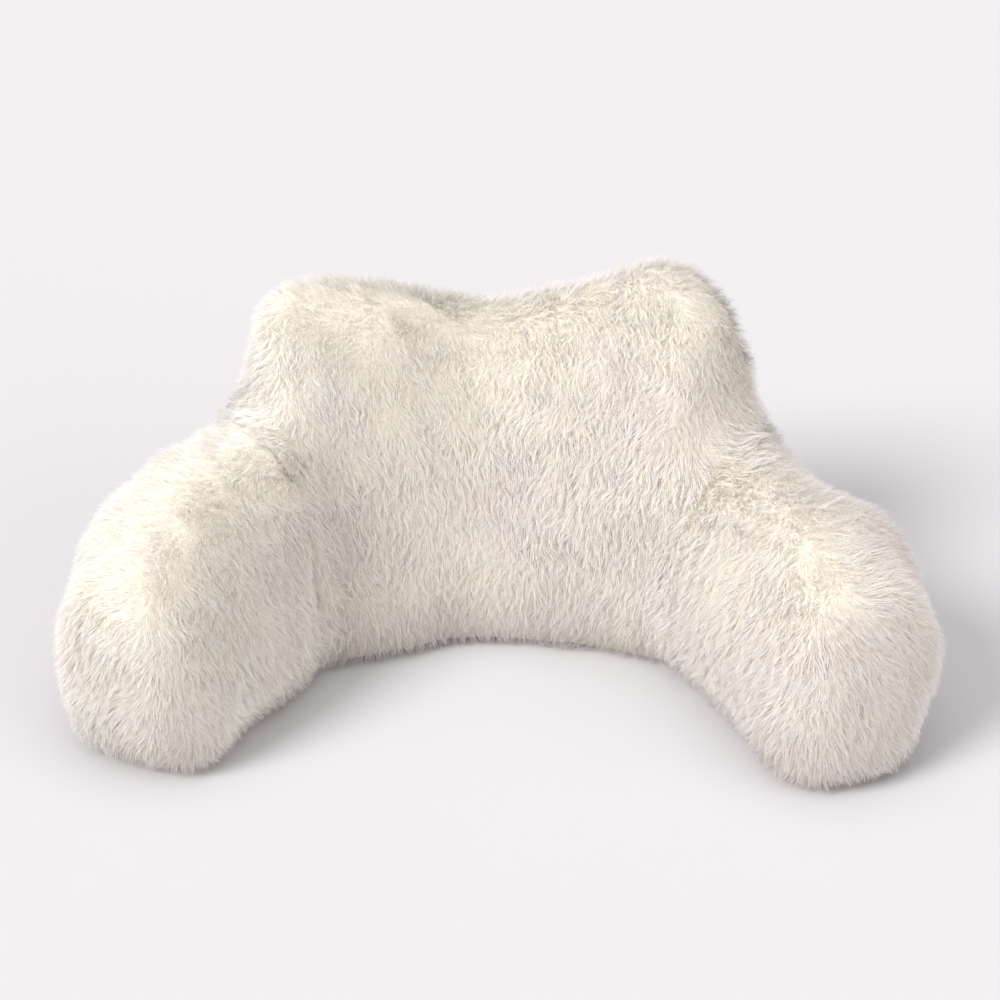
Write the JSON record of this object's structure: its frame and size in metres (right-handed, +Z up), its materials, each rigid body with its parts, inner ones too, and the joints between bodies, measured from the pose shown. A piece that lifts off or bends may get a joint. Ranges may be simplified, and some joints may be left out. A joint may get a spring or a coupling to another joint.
{
  "type": "reading pillow with arms",
  "caption": "Upright reading pillow in long cream faux fur: a leaning backrest with raised top corners and splayed, rounded arms around a seat space.",
  "frame": {"origin": "on the floor, under the middle of the bounding box", "axes": "+Z up, +Y out of the back of the backrest, the arms reach towards -Y, +X to the right of someone facing the seat"},
  "size_m": [0.7262, 0.4216, 0.3293],
  "materials": {
    "fur": "long soft pile, cream"
  },
  "bodies": {
    "root": {"backrest": "fur", "arm_left": "fur", "arm_right": "fur"}
  },
  "joints": []
}
